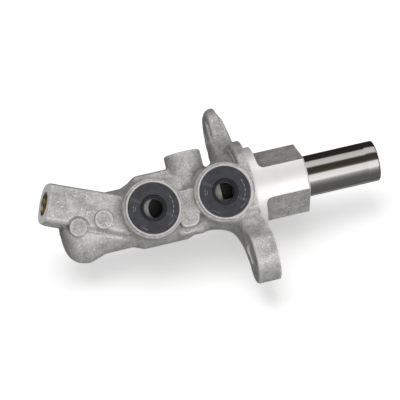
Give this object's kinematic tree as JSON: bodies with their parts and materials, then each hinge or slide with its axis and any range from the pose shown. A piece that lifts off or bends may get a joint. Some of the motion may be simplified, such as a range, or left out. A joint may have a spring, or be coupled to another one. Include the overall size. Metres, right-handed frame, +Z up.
{
  "type": "brake master cylinder",
  "caption": "Tandem brake master cylinder with a cast body, eared mounting flange, turned spigot, reservoir grommets and a protruding plunger.",
  "frame": {"origin": "on the bore axis, in the plane of the flange's rear face, at the pushrod seat inside the plunger", "axes": "+X along the bore towards the pushrod end; the flange ears lie along -Y and +Y, their line turned 3.1 degrees from Y towards +Z; +Z up; the reservoir grommets face halfway between -Y and +Z"},
  "size_m": [0.199, 0.1392, 0.0602],
  "materials": {
    "cast_aluminium": "die cast, matte, fine speckle; bare turned aluminium on the machined faces",
    "ground_piston": "ground and hard anodised, glossy",
    "anodised_piston": "satin",
    "spring_steel": "drawn wire, satin",
    "zinc_steel": "zinc plated",
    "rubber": "moulded, matte",
    "seal_rubber": "moulded, oiled",
    "nylon": "moulded",
    "brass": "turned"
  },
  "bodies": {
    "cylinder": {"cylinder_body": "cast_aluminium", "front_grommet": "rubber", "front_tube_seat": "brass", "guide_bush": "nylon", "primary_guide_ring": "nylon", "primary_isolation_seal": "seal_rubber", "primary_pressure_seal": "seal_rubber", "rear_grommet": "rubber", "rear_tube_seat": "brass", "retaining_ring": "spring_steel", "secondary_guide_ring": "nylon", "secondary_isolation_seal": "seal_rubber", "secondary_pressure_seal": "seal_rubber", "secondary_spring": "spring_steel", "secondary_spring_sleeve": "zinc_steel", "stop_washer": "zinc_steel"},
    "primary_piston": {"primary_piston": "ground_piston", "primary_stroke_screw": "zinc_steel"},
    "secondary_piston": {"secondary_piston": "anodised_piston", "secondary_stroke_screw": "zinc_steel", "primary_spring_sleeve": "zinc_steel", "primary_spring": "spring_steel"}
  },
  "joints": [
    {"name": "primary_piston_slide", "type": "slide", "parent": "cylinder", "child": "primary_piston", "axis": [-1, 0, 0], "range_m": [0, 0.036], "deforming": ["primary_spring"]},
    {"name": "secondary_piston_slide", "type": "slide", "parent": "cylinder", "child": "secondary_piston", "axis": [-1, 0, 0], "range_m": [0, 0.018], "deforming": ["secondary_spring"]}
  ],
  "couplings": [
    {"joint": "secondary_piston_slide", "follows": "primary_piston_slide", "ratio": 0.5}
  ]
}
